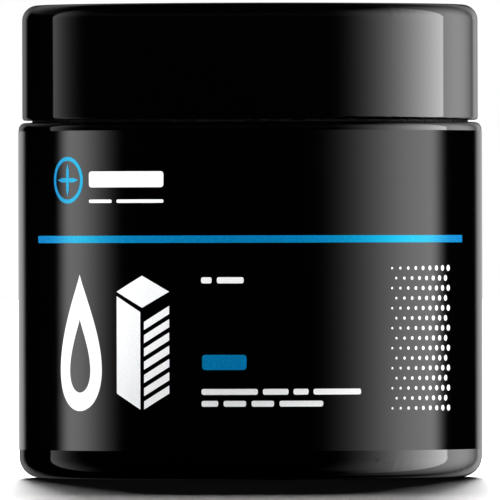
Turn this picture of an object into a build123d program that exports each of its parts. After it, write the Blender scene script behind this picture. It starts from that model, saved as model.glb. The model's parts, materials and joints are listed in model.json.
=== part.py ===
"""Double-wall screw jar that holds a bar of detailing clay.

The frame is in millimetres, with +Z up, the origin at the centre of the base and the label's front
towards -Y. The jar is an outer shell with a threaded inner cup snapped into it. The lid is an outer
shell with a threaded core snapped into it and a foam liner loose under the core's plate. The clay
stands in the cup in a film wrap.
"""

import os

from build123d import *

# Small edges and inner corners
edge_break = 0.15
root_round = 0.4

# Outside of the jar and the lid
jar_radius = 37.9
shoulder_height = 58.1
base_round = 3.45
shoulder_round = 1.1
lid_radius = 37.3
lid_gap = 0.4
total_height = 77.35
lid_top_round = 2.5
lid_edge_round = 0.45

# Outer jar shell
shell_wall = 1.5
shell_floor = 1.6
push_up = 1.2
foot_inner_radius = 30.0
foot_slope = 1.5
foot_round = 0.6
lip_thickness = 1.1
lip_opening_radius = 34.3
rebate_radius = 35.8
flange_thickness = 0.8
flange_step = 0.45

# Inner cup with its neck
cup_bore_radius = 31.2
cup_wall = 1.4
cup_floor_height = 5.0
cup_floor_thickness = 1.4
cup_corner_round = 4.0
neck_height = 12.4
rim_round = 0.5
collar_clearance = 0.1
snap_bead_height = 0.8
snap_bead_depth = 0.5
support_ring_radius = 23.4
support_ring_width = 1.4

# Screw thread: three starts, so the lid opens in under half a turn
thread_starts = 3
thread_lead = 12.0
thread_depth = 1.1
thread_root_width = 1.9
thread_crest_width = 0.8
thread_bite = 0.15
neck_thread_angle = 150
neck_thread_start_height = 62.2
lid_thread_angle = 110
lid_thread_lag = 20
thread_offset = 1.35
thread_clearance = 0.35

# Lid
lid_wall = 1.3
lid_plate = 1.6
lid_ceiling_round = 0.6
lid_bead_depth = 0.3
lid_bead_height = 0.4
core_recess = 0.8
core_bore_clearance = 0.3
core_wall = 1.2
core_plate = 1.2
core_flange_height = 0.8
core_fit = 0.05
core_rib_count = 36
core_rib_width = 0.8
core_top_round = 0.8
stand_off_radius = 21.2
stand_off_width = 1.2
web_count = 6
web_inner_radius = 5.0
web_outer_radius = 34.0
web_height = 1.7
web_width = 1.0
liner_thickness = 1.5
liner_radius = 33.4

# Label, wound round the wall with a butt gap at the back
label_thickness = 0.1
label_bottom = 4.65
label_top = 56.7
label_gap_angle = 4.0

# Clay bar and its film
clay_length = 50.0
clay_width = 38.0
clay_height = 59.0
clay_corner_round = 6.0
clay_edge_round = 4.0
film_thickness = 0.3
film_clearance = 0.15
film_floor_gap = 0.05

# Heights and radii that follow from those
inner_wall_radius = jar_radius - shell_wall
shell_floor_top = push_up + shell_floor
flange_bottom = shoulder_height - flange_thickness
lip_bottom = flange_bottom - lip_thickness
neck_radius = cup_bore_radius + cup_wall
collar_radius = lip_opening_radius - collar_clearance
rim_height = shoulder_height + neck_height
thread_crest_radius = neck_radius + thread_depth
lid_bottom = shoulder_height + lid_gap
lid_bore_radius = lid_radius - lid_wall
ceiling_height = total_height - lid_plate
core_bottom = lid_bottom + core_recess
core_bore_radius = thread_crest_radius + core_bore_clearance
core_radius = core_bore_radius + core_wall
core_thread_depth = core_bore_radius - neck_radius - thread_clearance
core_rim_radius = lid_bore_radius - core_fit
plate_bottom = rim_height + liner_thickness
plate_top = plate_bottom + core_plate
clay_bottom = cup_floor_height + film_floor_gap + film_thickness + film_clearance


def ring_profile(points, radii):
    """Half section of a turned part on XZ, with a rounding radius for each corner."""
    with BuildSketch(Plane.XZ) as profile:
        with BuildLine():
            FilletPolyline(*points, radius=radii, close=True)
        make_face()
    return profile.sketch


def thread_ridge(root_radius, depth, angle):
    """One start of thread from angle 0 at height 0, standing out of root_radius by depth.

    A negative depth points inwards, as in a lid. Both ends are rounded off by a half cone.
    """
    outward = 1 if depth > 0 else -1
    foot = -outward * thread_bite
    with BuildPart() as ridge:
        with BuildLine() as path:
            Helix(pitch=thread_lead, height=thread_lead * angle / 360, radius=root_radius)
        with BuildSketch(Plane(origin=path.line @ 0, x_dir=(1, 0, 0), z_dir=path.line % 0)):
            Polygon(
                (foot, -thread_root_width / 2),
                (foot, thread_root_width / 2),
                (depth, thread_crest_width / 2),
                (depth, -thread_crest_width / 2),
                align=None,
            )
        sweep(path=path.line, is_frenet=True)
        for turn in (0, angle):
            end = Location((0, 0, thread_lead * turn / 360), (0, 0, turn))
            with Locations(end * Location((root_radius + foot, 0, 0), (0, 90 * outward, 0))):
                Cone(
                    bottom_radius=thread_root_width / 2,
                    top_radius=thread_crest_width / 2,
                    height=abs(depth - foot),
                    align=(Align.CENTER, Align.CENTER, Align.MIN),
                )
    return ridge.part


# Outer shell of the jar
with BuildPart() as jar_shell:
    add(
        ring_profile(
            [
                (0, push_up),
                (foot_inner_radius - foot_slope, push_up),
                (foot_inner_radius, 0),
                (jar_radius, 0),
                (jar_radius, shoulder_height),
                (rebate_radius, shoulder_height),
                (rebate_radius, flange_bottom),
                (lip_opening_radius, flange_bottom),
                (lip_opening_radius, lip_bottom),
                (inner_wall_radius, lip_bottom),
                (inner_wall_radius, shell_floor),
                (foot_inner_radius, shell_floor),
                (foot_inner_radius - foot_slope, shell_floor_top),
                (0, shell_floor_top),
            ],
            [0, foot_round, foot_round, base_round, shoulder_round, 0, 0, edge_break, 0]
            + [root_round, base_round - shell_wall, foot_round, foot_round, 0],
        )
    )
    revolve(axis=Axis.Z)
jar_shell.part.label = "jar_shell"

# Inner cup: its flange drops into the shell's rebate, standing up inside the lid's lower edge, and a
# bead snaps under the shell's lip
neck_ridge = thread_ridge(neck_radius, thread_depth, neck_thread_angle)
cup_base = cup_floor_height - cup_floor_thickness
with BuildPart() as inner_cup:
    add(
        ring_profile(
            [
                (0, cup_base),
                (neck_radius, cup_base),
                (neck_radius, lip_bottom - 2 * snap_bead_height),
                (collar_radius + snap_bead_depth, lip_bottom - snap_bead_height),
                (collar_radius + snap_bead_depth, lip_bottom - collar_clearance),
                (collar_radius, lip_bottom - collar_clearance),
                (collar_radius, flange_bottom),
                (rebate_radius - collar_clearance, flange_bottom),
                (rebate_radius - collar_clearance, shoulder_height + flange_step),
                (neck_radius, shoulder_height + flange_step),
                (neck_radius, rim_height),
                (cup_bore_radius, rim_height),
                (cup_bore_radius, cup_floor_height),
                (0, cup_floor_height),
            ],
            [0, cup_corner_round + cup_wall, 0, edge_break, 0, 0, 0, 0, edge_break]
            + [root_round, rim_round, rim_round, cup_corner_round, 0],
        )
    )
    revolve(axis=Axis.Z)
    with BuildSketch(Plane.XY.offset(shell_floor_top)):
        Circle(support_ring_radius)
        Circle(support_ring_radius - support_ring_width, mode=Mode.SUBTRACT)
    extrude(amount=cup_base - shell_floor_top)
    for start in range(thread_starts):
        turn = start * 360 / thread_starts
        add(neck_ridge.moved(Location((0, 0, neck_thread_start_height), (0, 0, turn))))
inner_cup.part.label = "inner_cup"

# Printed label, with its butt gap at the back
with BuildPart() as label:
    with BuildSketch(Plane.XZ.rotated((0, 0, 90 + label_gap_angle / 2))):
        with Locations((jar_radius, label_bottom)):
            Rectangle(
                label_thickness, label_top - label_bottom, align=(Align.MIN, Align.MIN)
            )
    revolve(axis=Axis.Z, revolution_arc=360 - label_gap_angle)
label.part.label = "label"

# Outer shell of the lid, with a bead inside its lower edge that holds the core
bead_bottom = lid_bottom + (core_recess - lid_bead_height) / 2
with BuildPart() as lid_shell:
    add(
        ring_profile(
            [
                (0, ceiling_height),
                (lid_bore_radius, ceiling_height),
                (lid_bore_radius, bead_bottom + 1.5 * lid_bead_height),
                (lid_bore_radius - lid_bead_depth, bead_bottom + lid_bead_height),
                (lid_bore_radius - lid_bead_depth, bead_bottom + lid_bead_height / 2),
                (lid_bore_radius, bead_bottom),
                (lid_bore_radius, lid_bottom),
                (lid_radius, lid_bottom),
                (lid_radius, total_height),
                (0, total_height),
            ],
            [0, lid_ceiling_round, 0, 0, 0, 0, edge_break, lid_edge_round, lid_top_round, 0],
        )
    )
    revolve(axis=Axis.Z)
lid_shell.part.label = "lid_shell"

# Threaded core of the lid, stiffened by ribs all round and by webs and a stand-off ring on top
core_ridge = thread_ridge(core_bore_radius, -core_thread_depth, lid_thread_angle)
rib_root_radius = core_radius - core_wall / 2
rib_bottom = core_bottom + core_flange_height / 2
with BuildPart() as lid_core:
    add(
        ring_profile(
            [
                (0, plate_bottom),
                (core_bore_radius, plate_bottom),
                (core_bore_radius, core_bottom),
                (core_rim_radius, core_bottom),
                (core_rim_radius, core_bottom + core_flange_height),
                (core_radius, core_bottom + core_flange_height),
                (core_radius, plate_top),
                (0, plate_top),
            ],
            [0, root_round, root_round, edge_break, 0, 0, core_top_round, 0],
        )
    )
    revolve(axis=Axis.Z)
    with BuildSketch(Plane.XY.offset(rib_bottom)):
        with PolarLocations((rib_root_radius + core_rim_radius) / 2, core_rib_count):
            Rectangle(core_rim_radius - rib_root_radius, core_rib_width)
    extrude(amount=plate_top - core_top_round - rib_bottom)
    with BuildSketch(Plane.XY.offset(plate_top)):
        Circle(stand_off_radius)
        Circle(stand_off_radius - stand_off_width, mode=Mode.SUBTRACT)
    extrude(amount=ceiling_height - plate_top)
    with BuildSketch(Plane.XY.offset(plate_top)):
        with PolarLocations((web_inner_radius + web_outer_radius) / 2, web_count):
            Rectangle(web_outer_radius - web_inner_radius, web_width)
    extrude(amount=web_height)
    for start in range(thread_starts):
        turn = start * 360 / thread_starts + lid_thread_lag
        height = neck_thread_start_height + thread_lead * lid_thread_lag / 360 - thread_offset
        add(core_ridge.moved(Location((0, 0, height), (0, 0, turn))))
lid_core.part.label = "lid_core"

# Foam liner, loose between the core's plate and the rim of the neck
with BuildPart() as lid_liner:
    with BuildSketch(Plane.XY.offset(rim_height)):
        Circle(liner_radius)
    extrude(amount=liner_thickness)
lid_liner.part.label = "lid_liner"

# Clay bar, standing in the cup
with BuildPart() as clay_bar:
    with BuildSketch(Plane.XY.offset(clay_bottom)):
        RectangleRounded(clay_length, clay_width, clay_corner_round)
    extrude(amount=clay_height)
    fillet(clay_bar.faces().filter_by(Axis.Z).edges(), clay_edge_round)
clay_bar.part.label = "clay_bar"

# Film wrapped all round the clay
with BuildPart() as clay_wrap:
    offset(clay_bar.part, amount=film_clearance + film_thickness, mode=Mode.ADD)
    offset(clay_bar.part, amount=film_clearance, mode=Mode.SUBTRACT)
clay_wrap.part.label = "clay_wrap"

os.makedirs("parts", exist_ok=True)
for piece in (jar_shell, inner_cup, label, lid_shell, lid_core, lid_liner, clay_bar, clay_wrap):
    export_step(piece.part, f"parts/{piece.part.label}.step")
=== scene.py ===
"""Looks of the detailing clay jar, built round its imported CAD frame.

Lengths are metres, and angles written as numbers are degrees, unless a comment says otherwise. +Z is up
and the front of the label faces -Y. Places and sizes on the label are millimetres. A place there is
(along, up): along is measured round the wall from the middle of the front, positive to the right, and
up is the height above the base.
"""

import json
import math

import bmesh
import bpy
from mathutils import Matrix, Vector, noise


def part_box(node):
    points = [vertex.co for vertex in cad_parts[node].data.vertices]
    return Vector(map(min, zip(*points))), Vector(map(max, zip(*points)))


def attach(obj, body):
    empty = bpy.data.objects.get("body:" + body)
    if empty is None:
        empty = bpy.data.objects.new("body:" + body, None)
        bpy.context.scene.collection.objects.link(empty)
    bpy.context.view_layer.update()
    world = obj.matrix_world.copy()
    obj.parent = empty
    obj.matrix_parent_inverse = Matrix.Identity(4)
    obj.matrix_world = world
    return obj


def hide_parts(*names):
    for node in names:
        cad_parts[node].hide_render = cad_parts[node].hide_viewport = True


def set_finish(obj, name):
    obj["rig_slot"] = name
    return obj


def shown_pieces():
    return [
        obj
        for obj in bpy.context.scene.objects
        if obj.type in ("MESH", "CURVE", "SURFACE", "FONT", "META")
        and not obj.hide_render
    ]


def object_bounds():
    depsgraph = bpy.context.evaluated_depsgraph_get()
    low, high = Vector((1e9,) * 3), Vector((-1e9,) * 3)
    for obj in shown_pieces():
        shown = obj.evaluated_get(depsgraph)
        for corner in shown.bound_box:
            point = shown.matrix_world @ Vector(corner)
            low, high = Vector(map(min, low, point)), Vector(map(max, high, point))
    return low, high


MM = 0.001

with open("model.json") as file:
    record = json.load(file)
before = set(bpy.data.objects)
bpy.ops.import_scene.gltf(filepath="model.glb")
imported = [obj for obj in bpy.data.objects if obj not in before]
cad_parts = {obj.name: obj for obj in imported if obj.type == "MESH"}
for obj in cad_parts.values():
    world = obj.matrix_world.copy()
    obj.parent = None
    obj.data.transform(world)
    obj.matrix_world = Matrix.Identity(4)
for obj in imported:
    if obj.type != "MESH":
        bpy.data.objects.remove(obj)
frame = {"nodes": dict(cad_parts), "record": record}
cad_low, cad_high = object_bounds()
middle = Vector((0, 0, (cad_low.z + cad_high.z) / 2))
label_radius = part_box("label")[1].x
clay_low, clay_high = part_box("clay_bar")


# ---------------------------------------------------------------- materials

# the middle part of a pattern's range, which moves a colour or a roughness
pattern_low, pattern_high = 0.3, 0.7


def add_node(tree, kind, **inputs):
    """A new node whose inputs are set to plain values or linked to other nodes' outputs."""
    made = tree.nodes.new("ShaderNode" + kind)
    for name, value in inputs.items():
        socket = made.inputs[name.replace("_", " ")]
        if isinstance(value, bpy.types.NodeSocket):
            tree.links.new(value, socket)
        else:
            socket.default_value = value
    return made


def new_material(name, color, **values):
    """A material whose Principled shader has these values on its own sockets."""
    made = bpy.data.materials.new(name)
    made.use_nodes = True
    shader = made.node_tree.nodes["Principled BSDF"]
    shader.inputs["Base Color"].default_value = (*color, 1)
    for socket, value in values.items():
        shader.inputs[socket.replace("_", " ")].default_value = value
    return made


def feed(material, socket, output):
    """Links an output to that socket of the material's Principled shader."""
    shader = material.node_tree.nodes["Principled BSDF"]
    material.node_tree.links.new(output, shader.inputs[socket])


def grain(material, size, detail=3.0):
    """A noise pattern in the piece's own space, with a grain of about that size."""
    tree = material.node_tree
    place = add_node(tree, "TexCoord").outputs["Object"]
    return add_node(tree, "TexNoise", Vector=place, Scale=1 / size, Detail=detail).outputs["Fac"]


def vary_roughness(material, pattern, low, high):
    """The pattern's middle part moves the roughness from low to high."""
    spread = add_node(
        material.node_tree,
        "MapRange",
        Value=pattern,
        From_Min=pattern_low,
        From_Max=pattern_high,
        To_Min=low,
        To_Max=high,
    )
    feed(material, "Roughness", spread.outputs["Result"])


def vary_color(material, pattern, low, high):
    """The pattern's middle part moves the colour from low to high."""
    blend = add_node(material.node_tree, "ValToRGB", Fac=pattern)
    positions = (pattern_low, pattern_high)
    for stop, position, color in zip(blend.color_ramp.elements, positions, (low, high)):
        stop.position = position
        stop.color = (*color, 1)
    feed(material, "Base Color", blend.outputs["Color"])


def bump(material, pattern, depth):
    """The pattern raises the surface by up to that depth."""
    raised = add_node(material.node_tree, "Bump", Height=pattern, Distance=depth)
    feed(material, "Normal", raised.outputs["Normal"])


def polished_black():
    """Injection-moulded black plastic straight out of a polished mould."""
    made = new_material("black_gloss", (0.0004, 0.0004, 0.0005), IOR=1.5)
    vary_roughness(made, grain(made, 6 * MM), 0.03, 0.045)
    bump(made, grain(made, 0.12 * MM, detail=1), 0.0004 * MM)
    return made


def moulded(name, color, roughness, spread=0.12):
    """Inner plastic with a fine moulded grain."""
    made = new_material(name, color, IOR=1.49)
    vary_roughness(made, grain(made, 2.5 * MM), roughness, roughness + spread)
    bump(made, grain(made, 0.25 * MM, detail=4), 0.006 * MM)
    return made


def label_film():
    """Black label film with the faint grain of its satin varnish."""
    made = new_material("label_film", (0.0003, 0.0003, 0.0004), IOR=1.5)
    vary_roughness(made, grain(made, 1.2 * MM), 0.07, 0.11)
    bump(made, grain(made, 0.1 * MM, detail=2), 0.0015 * MM)
    return made


def ink(name, color, thinnest=0.93, **values):
    """Printing ink, a little uneven where the press laid it down."""
    made = new_material(name, color, **values)
    thin = tuple(thinnest * c for c in color)
    vary_color(made, grain(made, 0.3 * MM, detail=4), thin, color)
    vary_roughness(made, grain(made, 0.15 * MM), 0.2, 0.3)
    bump(made, grain(made, 0.06 * MM, detail=2), 0.0012 * MM)
    return made


def foam():
    """White expanded foam with closed cells."""
    made = new_material("liner_foam", (0.86, 0.86, 0.84), Subsurface_Weight=0.15, Subsurface_Scale=MM)
    place = add_node(made.node_tree, "TexCoord").outputs["Object"]
    cells = add_node(made.node_tree, "TexVoronoi", Vector=place, Scale=1 / (0.35 * MM))
    bump(made, cells.outputs["Distance"], 0.05 * MM)
    vary_color(made, grain(made, 3 * MM), (0.80, 0.80, 0.78), (0.88, 0.88, 0.86))
    vary_roughness(made, grain(made, MM), 0.7, 0.85)
    return made


def putty():
    """Blue detailing clay: dense, faintly mottled, with a soft sheen where it was pressed."""
    made = new_material("clay", (0.05, 0.2, 0.5), IOR=1.48, Subsurface_Weight=0.1, Subsurface_Scale=2 * MM)
    vary_color(made, grain(made, 5 * MM, detail=6), (0.035, 0.16, 0.44), (0.06, 0.24, 0.56))
    vary_roughness(made, grain(made, 2 * MM, detail=5), 0.42, 0.62)
    bump(made, grain(made, 0.7 * MM, detail=6), 0.05 * MM)
    return made


def clear_film():
    """Thin clear film, seen mostly by what it reflects along its creases."""
    made = new_material("clear_film", (0.45, 0.56, 0.7), IOR=1.7, Alpha=0.2)
    vary_roughness(made, grain(made, 4 * MM), 0.08, 0.18)
    bump(made, grain(made, 4 * MM, detail=5), 0.2 * MM)
    return made


materials = {
    "black_gloss": polished_black(),
    "cup_plastic": moulded("cup_plastic", (0.01, 0.01, 0.011), 0.22),
    "core_plastic": moulded("core_plastic", (0.016, 0.016, 0.018), 0.3),
    "label_film": label_film(),
    "liner_foam": foam(),
    "clay": putty(),
    "clear_film": clear_film(),
    "ink_white": ink("ink_white", (0.83, 0.84, 0.85), IOR=1.45),
    # the tint takes the red out of what the ink reflects head-on
    "ink_blue": ink("ink_blue", (0.002, 0.16, 0.42), IOR=2.2, Specular_Tint=(0, 1, 1, 1)),
}


# ---------------------------------------------------------------- shared mesh helpers


def new_object(name, data):
    """An object in the scene with that mesh, light or camera."""
    made = bpy.data.objects.new(name, data)
    bpy.context.scene.collection.objects.link(made)
    return made


def from_bmesh(name, shape):
    """An object made from a bmesh, which is freed."""
    mesh = bpy.data.meshes.new(name)
    shape.to_mesh(mesh)
    shape.free()
    return new_object(name, mesh)


def smooth(piece, sharp=35):
    """Smooth shading that lets flat and cylindrical walls keep their true normals at a rounding."""
    piece.data.shade_smooth()
    piece.data.set_sharp_from_angle(angle=math.radians(sharp))
    weighted = piece.modifiers.new("wall_normals", "WEIGHTED_NORMAL")
    weighted.keep_sharp = True
    weighted.weight = 100
    return piece


def finish_piece(piece, slot, body):
    """Material, record slot and body of a piece made here."""
    piece.data.materials.clear()
    piece.data.materials.append(materials[slot])
    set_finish(piece, slot)
    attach(piece, body)
    return piece


# ---------------------------------------------------------------- moulded CAD pieces


def polish(cad):
    """Even shading for a CAD piece: its facets joined, its edges kept, its walls' normals true."""
    cad.data.shade_smooth()
    joined = cad.modifiers.new("joined_faces", "WELD")
    joined.merge_threshold = 0.001 * MM
    facets = cad.modifiers.new("flat_facets", "DECIMATE")
    facets.decimate_type = "DISSOLVE"
    facets.angle_limit = math.radians(0.3)
    edges = cad.modifiers.new("crisp_edges", "EDGE_SPLIT")
    edges.split_angle = math.radians(65)
    walls = cad.modifiers.new("wall_normals", "WEIGHTED_NORMAL")
    walls.weight = 100


for part in frame["record"]["subparts"]:
    cad = frame["nodes"][part["node"]]
    cad.data.materials.clear()
    cad.data.materials.append(materials[part["material_slot"]])
    polish(cad)


# ---------------------------------------------------------------- print on the label

ink_height = 0.02 * MM
ink_sunk = 0.02 * MM
bend_step = 0.8


def pill(left, right, low, high, rounding, steps=4):
    """Outline of a rounded bar, with that many steps round each corner."""
    points = []
    for along, up, start in (
        (right - rounding, low + rounding, -90),
        (right - rounding, high - rounding, 0),
        (left + rounding, high - rounding, 90),
        (left + rounding, low + rounding, 180),
    ):
        for step in range(steps + 1):
            turn = math.radians(start + 90 * step / steps)
            points.append((along + rounding * math.cos(turn), up + rounding * math.sin(turn)))
    return points


def disc(along, up, radius, sides=20):
    """Outline of a circle, with that many sides."""
    turns = [2 * math.pi * side / sides for side in range(sides)]
    return [(along + radius * math.cos(t), up + radius * math.sin(t)) for t in turns]


def star(along, up, reach, waist, steps=7, hollowness=2.2):
    """Outline of a four-pointed sparkle, with hollow sides between its points."""
    points = []
    for side in range(4):
        for step in range(steps):
            share = step / steps
            turn = math.radians(90 * (side + share))
            pinch = abs(1 - 2 * share) ** hollowness
            radius = waist + (reach - waist) * pinch
            points.append((along + radius * math.cos(turn), up + radius * math.sin(turn)))
    return points


def drop(along, up, width, height, sides=72, taper=1.3, slimness=1.74):
    """Outline of a drop, pointed at the top and round at the bottom. It fills 0.84 of the width."""
    points = []
    for side in range(sides):
        turn = 2 * math.pi * side / sides
        fullness = math.sin(turn / 2) ** taper
        aside = width / slimness * math.sin(turn) * fullness
        points.append((along - aside, up + height / 2 * math.cos(turn)))
    return points


def band(outer, inner):
    """The strip between two outlines that have the same number of points."""
    count = len(outer)
    return [
        (outer[i], outer[(i + 1) % count], inner[(i + 1) % count], inner[i]) for i in range(count)
    ]


def printed(name, outlines, slot):
    """A thin layer of ink in those outlines, cut into narrow strips so that it bends round the label."""
    shape = bmesh.new()
    for outline in outlines:
        shape.faces.new([shape.verts.new((along, 0, up)) for along, up in outline])
    bmesh.ops.remove_doubles(shape, verts=shape.verts[:], dist=1e-4)
    alongs = [v.co.x for v in shape.verts]
    for cut in range(math.ceil(min(alongs) / bend_step), math.ceil(max(alongs) / bend_step)):
        bmesh.ops.bisect_plane(
            shape,
            geom=shape.verts[:] + shape.edges[:] + shape.faces[:],
            plane_co=(cut * bend_step, 0, 0),
            plane_no=(1, 0, 0),
        )
    for face in shape.faces:
        face.normal_update()
        if face.normal.y > 0:
            face.normal_flip()
    grown = bmesh.ops.extrude_face_region(shape, geom=shape.faces[:])
    front = {v for v in grown["geom"] if isinstance(v, bmesh.types.BMVert)}
    for v in shape.verts:
        turn = v.co.x * MM / label_radius
        reach = label_radius + (ink_height if v in front else -ink_sunk)
        v.co = Vector((reach * math.sin(turn), -reach * math.cos(turn), v.co.z * MM))
    bmesh.ops.recalc_face_normals(shape, faces=shape.faces[:])
    piece = smooth(from_bmesh(name, shape))
    return finish_piece(piece, slot, "jar")


def word_bars(left, right, middle_up, height, letters):
    """A line of text as bars, one for each word of that many letters."""
    pitch = (right - left) / (sum(letters) + len(letters) - 1)
    low, high = middle_up - height / 2, middle_up + height / 2
    # always under half the height, because the corners of a pill must not meet
    rounding = min(0.3, height / 2.2)
    bars, start = [], left
    for count in letters:
        bars.append(pill(start, start + count * pitch, low, high, rounding))
        start += (count + 1) * pitch
    return bars


printed("stripe", [pill(-43.35, 43.35, 38.42, 39.6, 0.05)], "ink_blue")

emblem, emblem_outer, emblem_inner, emblem_sides = (-34.1, 48.65), 3.8, 3.15, 64
sparkle_reach, sparkle_waist = 2.7, 0.5
printed(
    "emblem",
    band(disc(*emblem, emblem_outer, emblem_sides), disc(*emblem, emblem_inner, emblem_sides))
    + [star(*emblem, sparkle_reach, sparkle_waist)],
    "ink_blue",
)
printed("name_bar", [pill(-28.9, -14.4, 47.45, 50.05, 0.5)], "ink_white")
printed("tag_bars", word_bars(-28.9, -14.4, 45.2, 0.55, (5, 9)), "ink_white")

# the inner outline is lowered as well as shorter, so the stroke is thicker at the tip than below
drop_place, drop_size, drop_stroke = (-31.1, 22.2), (11.8, 22.2), 3.0
strokes_shorter, strokes_lower = 3.4, 0.7
drop_inner = (drop_size[0] - 2 * drop_stroke, drop_size[1] - strokes_shorter * drop_stroke)
printed(
    "drop_mark",
    band(
        drop(*drop_place, *drop_size),
        drop(drop_place[0], drop_place[1] - strokes_lower * drop_stroke, *drop_inner),
    ),
    "ink_white",
)

block_left, block_right, block_low, block_high = -23.1, -13.45, 11.4, 33.1
block_middle = (block_left + block_right) / 2
block_slope, block_gap = 2.6, 0.7
slat_count, slat_pitch, slat_height = 7, 2.15, 1.3
shoulder_up = block_high - block_slope
valley_up = block_high - 2 * block_slope
printed(
    "block_mark",
    [
        [
            (block_left, shoulder_up),
            (block_middle, valley_up),
            (block_right, shoulder_up),
            (block_middle, block_high),
        ],
        [
            (block_left, shoulder_up - block_gap),
            (block_left, block_low + block_slope),
            (block_middle - block_gap / 2, block_low),
            (block_middle - block_gap / 2, valley_up - block_gap),
        ],
    ]
    + [
        [
            (block_middle + block_gap / 2, low),
            (block_right, low + block_slope),
            (block_right, low + block_slope + slat_height),
            (block_middle + block_gap / 2, low + slat_height),
        ]
        for low in [block_low + slat_pitch * row for row in range(slat_count)]
    ],
    "ink_white",
)

printed("code_bars", word_bars(-8.05, -1.1, 32.33, 1.0, (2, 5)), "ink_white")
printed("title_bar", [pill(-7.9, -0.65, 17.8, 20.25, 0.5)], "ink_blue")
printed("text_line_1", word_bars(-8.0, 18.65, 14.25, 0.95, (11, 5, 3, 10)), "ink_white")
printed("text_line_2", word_bars(-8.0, 11.95, 12.32, 0.95, (3, 4, 4, 8)), "ink_white")

dot_rows, dot_pitch_up, dot_pitch_along = 15, 1.625, 1.715
dot_first, dot_top, dots_across = 24.72, 34.24, 9
dot_smallest, dot_largest = 0.19, 0.49
dots = []
# every other row has one dot fewer and starts half a pitch further along
for row in range(dot_rows):
    shift = row % 2 / 2
    for column in range(dots_across - row % 2):
        share = (column + shift) / (dots_across - 1)
        radius = dot_smallest + (dot_largest - dot_smallest) * share
        place = (dot_first + (column + shift) * dot_pitch_along, dot_top - row * dot_pitch_up)
        dots.append(disc(*place, radius))
printed("halftone", dots, "ink_white")


# ---------------------------------------------------------------- clay and its film


def rounded_box_point(p, low, high, rounding):
    """Where p, a point of a sharp box, goes when the box's edges are rounded, and the way out there."""
    core = Vector([min(max(c, a + rounding), b - rounding) for c, a, b in zip(p, low, high)])
    out = (p - core).normalized()
    return core + out * rounding, out


def clay_block():
    """The cut bar: rounded, faintly wavy, and never outside its CAD solid."""
    rounding, depth, cuts = 4.6 * MM, 0.35 * MM, 47
    swells_per_metre, dimples_per_metre, dimple_share = 90, 420, 0.18
    shape = bmesh.new()
    bmesh.ops.create_cube(shape, size=1)
    bmesh.ops.subdivide_edges(shape, edges=shape.edges[:], cuts=cuts, use_grid_fill=True)
    size, centre = clay_high - clay_low, (clay_low + clay_high) / 2
    for v in shape.verts:
        sharp = Vector([m + c * s for m, c, s in zip(centre, v.co, size)])
        p, out = rounded_box_point(sharp, clay_low, clay_high, rounding)
        dent = 0.5 + 0.5 * noise.noise(p * swells_per_metre)
        dent += dimple_share * noise.noise(p * dimples_per_metre)
        v.co = p - out * max(0, dent) * depth
    piece = from_bmesh("clay_block", shape)
    piece.data.shade_smooth()
    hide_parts("clay_bar")
    return finish_piece(piece, "clay", "clay")


def on_the_side(half, s):
    """The place s along the film from its seam at the back, round a block of that half size."""
    corners = [(0, 1), (1, 1), (1, -1), (-1, -1), (-1, 1), (0, 1)]
    corners = [Vector((x * half.x, y * half.y)) for x, y in corners]
    s %= 4 * (half.x + half.y)
    for start, end in zip(corners, corners[1:]):
        reach = (end - start).length
        if s <= reach:
            return start + (end - start) * s / reach
        s -= reach
    return corners[-1]


def on_the_end(half, at, q):
    """Where the film lies q past the edge that it crosses at that place, and on how many layers.

    It is folded like a parcel: the short sides first, then the corners turn under along diagonals, and
    the long sides lap over each other, the front one on top.
    """
    tolerance = 1e-6
    side = math.copysign(1, at.x)
    if abs(at.x) > half.x - tolerance:
        return Vector((side * (half.x - q), at.y)), 0
    front = math.copysign(1, at.y)
    from_corner = half.x - abs(at.x)
    if from_corner < q:
        return Vector((side * (half.x - q), front * (half.y - from_corner))), 1
    return Vector((at.x, front * (half.y - q))), 2 if front > 0 else 3


def film_wrap():
    """One sheet of film rolled round the clay. Gives the piece and the size that it was cut to."""
    gap, rounding, layer = Vector((0.12 * MM,) * 3), 4.2 * MM, 0.07 * MM
    lap, lap_lift, flap = 5 * MM, 0.1 * MM, 23 * MM
    crease_height, creases_per_metre, waves_per_metre, crispness = 0.16 * MM, 190, 70, 6
    layer_shift = Vector((3, 7, 1))
    low, high = clay_low - gap, clay_high + gap
    half = (high - low) / 2
    around, tall = 4 * (half.x + half.y), high.z - low.z
    cut_size = (around + lap, tall + 2 * flap)
    steps_around, steps_up = 240, 132
    shape = bmesh.new()
    grid = []
    for i in range(steps_around + 1):
        s = cut_size[0] * i / steps_around
        at = on_the_side(half, s)
        column = []
        for j in range(steps_up + 1):
            t = cut_size[1] * j / steps_up - flap
            lift = lap_lift if s > around else 0
            place = at
            if not 0 <= t <= tall:
                place, layers = on_the_end(half, at, max(-t, t - tall))
                lift += layers * layer
            sharp = Vector((*place, low.z + min(max(t, 0), tall)))
            base, out = rounded_box_point(sharp, low, high, rounding)
            shifted = base * creases_per_metre + layer_shift * lift / MM
            crease = (1 - abs(noise.noise(shifted))) ** crispness
            wave = 0.5 + 0.5 * noise.noise(base * waves_per_metre)
            column.append(shape.verts.new(base + out * (lift + crease_height * crease * wave)))
        grid.append(column)
    for a, b in zip(grid, grid[1:]):
        for j in range(steps_up):
            shape.faces.new((a[j], b[j], b[j + 1], a[j + 1]))
    piece = from_bmesh("film_wrap", shape)
    piece.data.shade_smooth()
    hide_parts("clay_wrap")
    finish_piece(piece, "clear_film", "clay")
    return piece, cut_size


clay_block()
film, film_cut = film_wrap()


# ---------------------------------------------------------------- camera

camera_distance = 3.356
camera_height = 37.23 * MM
camera_aside = -0.05 * MM
camera_roll = 0.13
# what the picture takes in from side to side at the jar's axis
frame_width = 81.92 * MM
# millimetres, as the camera's own settings have it
sensor_width = 36.0

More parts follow.
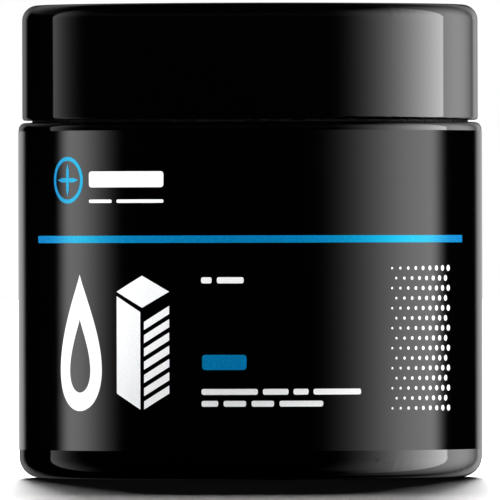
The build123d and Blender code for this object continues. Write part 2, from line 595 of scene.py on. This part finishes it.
camera = bpy.data.cameras.new("camera")
camera.sensor_width = sensor_width
camera.lens = sensor_width * camera_distance / frame_width
camera_object = new_object("camera", camera)
camera_object.location = (camera_aside, -camera_distance, camera_height)
camera_object.rotation_euler = (math.radians(90), math.radians(camera_roll), 0)
bpy.context.scene.camera = camera_object
bpy.context.scene.view_settings.view_transform = "Standard"


# ---------------------------------------------------------------- light panels

# the elevations that every panel reaches to
panel_low, panel_high = -70, 75
# panels that overlap need different distances, or only one of them is reflected
body_distance, rim_distance, label_distance, sky_distance, windows_distance = 3.0, 3.1, 3.2, 3.25, 3.3


def math_node(tree, operation, *values):
    """The output of a math node whose inputs are other nodes' outputs or plain numbers."""
    made = tree.nodes.new("ShaderNodeMath")
    made.operation = operation
    for socket, value in zip(made.inputs, values):
        if isinstance(value, bpy.types.NodeSocket):
            tree.links.new(value, socket)
        else:
            socket.default_value = value
    return made.outputs["Value"]


def product(tree, *factors):
    """The output of math nodes that multiply all the factors."""
    total = factors[0]
    for factor in factors[1:]:
        total = math_node(tree, "MULTIPLY", total, factor)
    return total


def ramp(tree, value, start, end, power=1.0, top=1.0):
    """A smooth rise from 0 at start to top at end, steepened by power."""
    rise = add_node(tree, "MapRange", Value=value, From_Min=start, From_Max=end)
    rise.interpolation_type = "SMOOTHSTEP"
    return product(tree, math_node(tree, "POWER", rise.outputs["Result"], power), top)


def fade(tree, rise, top, high, low, bottom):
    """Full between the elevations low and high, falling to nothing at top and bottom."""
    return product(tree, ramp(tree, rise, top, high), ramp(tree, rise, bottom, low))


def leaning_edge(tree, rise, at, lean):
    """The azimuth of a panel's edge, which leans away from the front above and below the horizon."""
    return math_node(tree, "MULTIPLY_ADD", math_node(tree, "ABSOLUTE", rise), lean, at)


def panel_shape(name, near, far, distance):
    """A piece of a sphere round the jar, from azimuth near to far."""
    across, up = 48, 24
    shape = bmesh.new()
    grid = []
    for i in range(across + 1):
        turn = math.radians(near + (far - near) * i / across)
        column = []
        for j in range(up + 1):
            rise = math.radians(panel_low + (panel_high - panel_low) * j / up)
            flat = math.cos(rise)
            away = Vector((math.sin(turn) * flat, -math.cos(turn) * flat, math.sin(rise)))
            column.append(shape.verts.new(away * distance))
        grid.append(column)
    for a, b in zip(grid, grid[1:]):
        for j in range(up):
            shape.faces.new((a[j], a[j + 1], b[j + 1], b[j]))
    return from_bmesh(name, shape)


def panel_glow(name, strength):
    """A clear surface that glows by strength(tree, turn, rise)."""
    made = bpy.data.materials.new(name)
    made.use_nodes = True
    tree = made.node_tree
    tree.nodes.clear()
    unit = add_node(tree, "VectorMath", Vector=add_node(tree, "TexCoord").outputs["Object"])
    unit.operation = "NORMALIZE"
    x, y, z = add_node(tree, "SeparateXYZ", Vector=unit.outputs["Vector"]).outputs
    turn = math_node(tree, "ARCTAN2", x, math_node(tree, "MULTIPLY", y, -1))
    turn = math_node(tree, "ABSOLUTE", math_node(tree, "DEGREES", turn))
    rise = math_node(tree, "DEGREES", math_node(tree, "ARCSINE", z))
    glow = add_node(tree, "Emission", Strength=strength(tree, turn, rise))
    both = tree.nodes.new("ShaderNodeAddShader")
    tree.links.new(glow.outputs["Emission"], both.inputs[0])
    tree.links.new(add_node(tree, "BsdfTransparent").outputs["BSDF"], both.inputs[1])
    add_node(tree, "OutputMaterial", Surface=both.outputs["Shader"])
    return made


def light_panel(near, far, strength, group, distance):
    """A tall curved panel that shines on one group of pieces only, from azimuth near to far.

    Azimuth 0 is towards the camera, positive to the right. strength gets the unsigned azimuth and the
    elevation seen from the jar. The panels are clear, so that one doesn't hide another behind it.
    """
    name = f"panel_{strength.__name__}"
    panel = panel_shape(name, near, far, distance)
    panel.location = middle
    panel.data.materials.append(panel_glow(name, strength))
    panel.visible_camera = False
    panel.visible_shadow = False
    panel.light_linking.receiver_collection = group
    return panel


def body_right(tree, turn, rise):
    """Grows from the front to a hard edge, then goes on as a dimmer panel towards the back."""
    edge = leaning_edge(tree, rise, at=115, lean=0.12)
    key = ramp(tree, turn, 38, 114, power=1.45, top=6.5)
    key = product(tree, key, math_node(tree, "LESS_THAN", turn, edge))
    rest = ramp(tree, turn, 162, 118, top=2.6)
    rest = product(tree, rest, math_node(tree, "GREATER_THAN", turn, edge))
    return product(tree, math_node(tree, "ADD", key, rest), fade(tree, rise, 58, 8, -5, -68))


def body_left(tree, turn, rise):
    """A dimmer panel that grows from the side to a hard edge."""
    edge = leaning_edge(tree, rise, at=118.3, lean=0.15)
    glow = ramp(tree, turn, 86, 126, power=1.8, top=0.95)
    glow = product(tree, glow, math_node(tree, "LESS_THAN", turn, edge))
    return product(tree, glow, fade(tree, rise, 42, 10, -12, -50))


def rim_right(tree, turn, rise):
    """A strip nearly behind the jar, which draws the thin bright line down its right edge."""
    strip = product(tree, ramp(tree, turn, 152, 159), ramp(tree, turn, 178, 163, top=0.68))
    return product(tree, strip, fade(tree, rise, 26, 3, -5, -38))


def rim_left(tree, turn, rise):
    """The same on the left, and dimmer."""
    strip = product(tree, ramp(tree, turn, 153, 161), ramp(tree, turn, 182, 163, top=0.28))
    return product(tree, strip, fade(tree, rise, 20, 4, -6, -26))


def sky(tree, turn, rise):
    """A ring of soft light above the horizon, brighter behind the jar than in front of it."""
    in_front = 0.03
    round_about = math_node(tree, "ADD", ramp(tree, turn, 135, 170, top=0.2), in_front)
    return product(tree, round_about, fade(tree, rise, 38, 28, 20, 12))


def windows(tree, turn, rise):
    """A ring of six tall windows, which creases and threads catch, and a dim glow between them."""
    half_pitch, window_glow, wall_glow = 30, 4, 0.4
    window = ramp(tree, math_node(tree, "PINGPONG", turn, half_pitch), 8, 14)
    glow = math_node(tree, "MULTIPLY_ADD", window, window_glow, wall_glow)
    return product(tree, glow, fade(tree, rise, 74, 60, 18, 8))


def label_right(tree, turn, rise):
    """Grows from the front and fades out towards the back, so its reflection has no hard edge."""
    glow = ramp(tree, turn, 26, 90, power=1.6, top=3.0)
    return product(tree, glow, ramp(tree, turn, 117, 100, power=1.6))


def label_left(tree, turn, rise):
    """A narrower and dimmer one on the left."""
    glow = ramp(tree, turn, 64, 97, power=1.2, top=2.4)
    return product(tree, glow, ramp(tree, turn, 113.5, 100, power=1.2))


def label_rim(tree, turn, rise):
    """A strip behind the jar for both sides of the label."""
    return ramp(tree, turn, 149, 158, top=0.65)


def lit_group(name, pieces):
    """A group of pieces for a light to shine on."""
    group = bpy.data.collections.new(name)
    for piece in pieces:
        group.objects.link(piece)
    return group


shells = [frame["nodes"]["jar_shell"], frame["nodes"]["lid_shell"]]
prints = [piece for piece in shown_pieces() if str(piece.get("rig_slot", "")).startswith("ink")]
label_front = [frame["nodes"]["label"], *prints]
insides = [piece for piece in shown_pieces() if piece not in shells and piece not in label_front]
body_group = lit_group("lit_body", shells)
label_group = lit_group("lit_label", label_front)
inside_group = lit_group("lit_inside", insides)

light_panel(36, 164, body_right, body_group, body_distance)
light_panel(-80, -132, body_left, body_group, body_distance)
light_panel(150, 180, rim_right, body_group, rim_distance)
light_panel(-150, -180, rim_left, body_group, rim_distance)
light_panel(-180, 180, sky, body_group, sky_distance)
light_panel(24, 119, label_right, label_group, label_distance)
light_panel(-62, -115, label_left, label_group, label_distance)
light_panel(148, 212, label_rim, label_group, label_distance)
inside_light = light_panel(-180, 180, windows, inside_group, windows_distance)
inside_light.visible_diffuse = False


# ---------------------------------------------------------------- floor and world

floor_albedo = 0.003
# how bright the back light makes the floor, where 1 is white
floor_glare = 2.27


def studio_floor():
    """A plain floor, which the back light lifts to white wherever it reaches.

    The material itself is dark, so that the world's even fill leaves the jar's shadow black.
    """
    shape = bmesh.new()
    bmesh.ops.create_circle(shape, cap_ends=True, segments=96, radius=12)
    floor = from_bmesh("floor", shape)
    made = new_material("floor", (floor_albedo,) * 3, Roughness=1.0, Specular_IOR_Level=0)
    floor.data.materials.append(made)
    floor.visible_glossy = False
    return floor


def back_light(floor):
    """A tall soft light low behind the jar: three suns, one above the other, for the floor alone.

    Each has its height and width in degrees and its share of the light that the floor gets.
    """
    group = lit_group("lit_floor", [floor])
    for height, width, share in ((4.95, 5.9, 0.4), (9.7, 5.8, 0.4), (15.8, 11.2, 0.2)):
        name = f"back_light_{height:.0f}"
        light = bpy.data.lights.new(name, "SUN")
        light.angle = math.radians(width)
        light.energy = share * floor_glare * math.pi / floor_albedo / math.sin(math.radians(height))
        lamp = new_object(name, light)
        lamp.rotation_euler = (math.radians(height - 90), 0, 0)
        lamp.light_linking.receiver_collection = group


def studio_world():
    """White behind everything and an even fill on matte surfaces, but dark in reflections."""
    world = bpy.data.worlds.new("studio")
    bpy.context.scene.world = world
    world.use_nodes = True
    world.cycles.sampling_method = "NONE"
    tree = world.node_tree
    background = tree.nodes["Background"]
    background.inputs["Color"].default_value = (1, 1, 1, 1)
    glossy = add_node(tree, "LightPath").outputs["Is Glossy Ray"]
    tree.links.new(math_node(tree, "SUBTRACT", 1, glossy), background.inputs["Strength"])


back_light(studio_floor())
studio_world()
